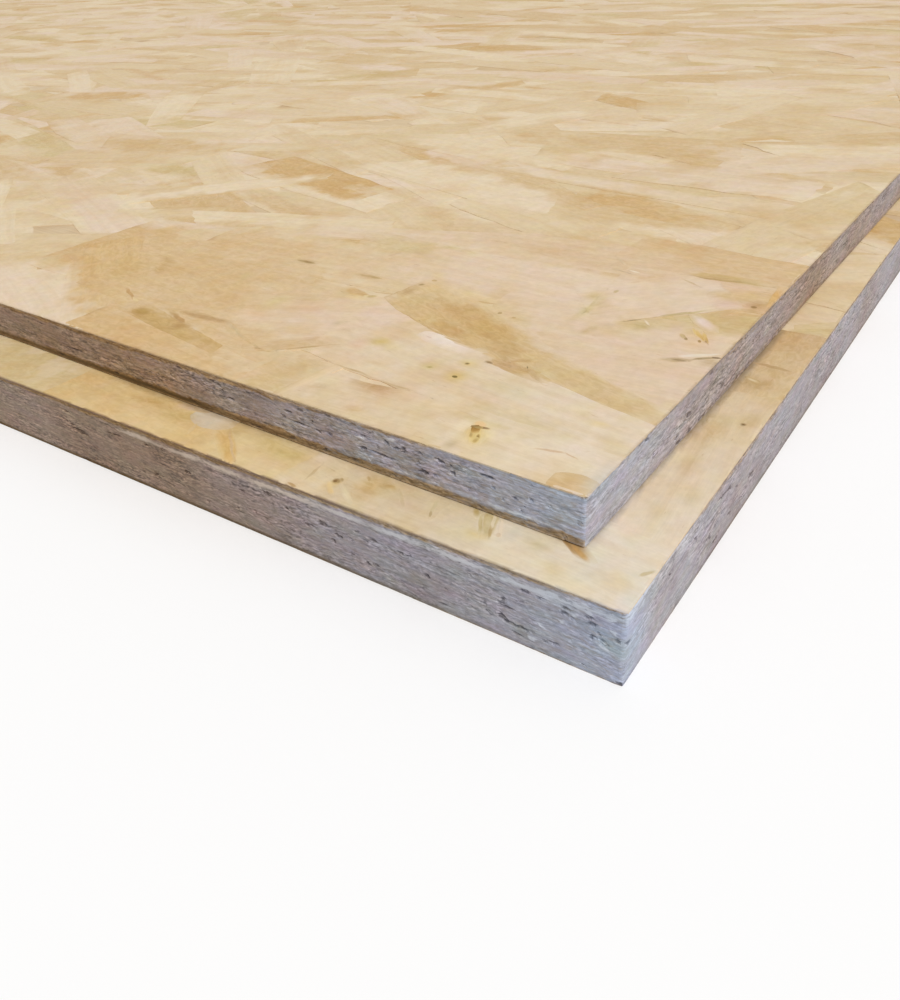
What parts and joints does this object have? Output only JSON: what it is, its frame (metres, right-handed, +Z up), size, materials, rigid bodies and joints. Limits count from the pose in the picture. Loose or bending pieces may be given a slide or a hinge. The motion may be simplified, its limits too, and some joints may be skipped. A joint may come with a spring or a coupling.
{
  "type": "stack of osb panels",
  "caption": "Full-size square-edged oriented strand board sheets stacked flat, a thinner one laid slightly askew on a thicker one, with coated grey sawn edges.",
  "frame": {"origin": "centre of the lower sheet's underside, on the ground", "axes": "+X along the sheets' length, towards the near end where the upper sheet is set in; +Y across the width, towards the back; +Z up through the stack"},
  "size_m": [2.4671, 1.2974, 0.0472],
  "materials": {
    "osb_face": "pressed pale strands, lightly waxed, matt",
    "edge_coating": "thin grey edge sealer over sawn strand ends, matt"
  },
  "bodies": {
    "root": {"lower_sheet": "osb_face", "upper_sheet": "osb_face"}
  },
  "joints": []
}
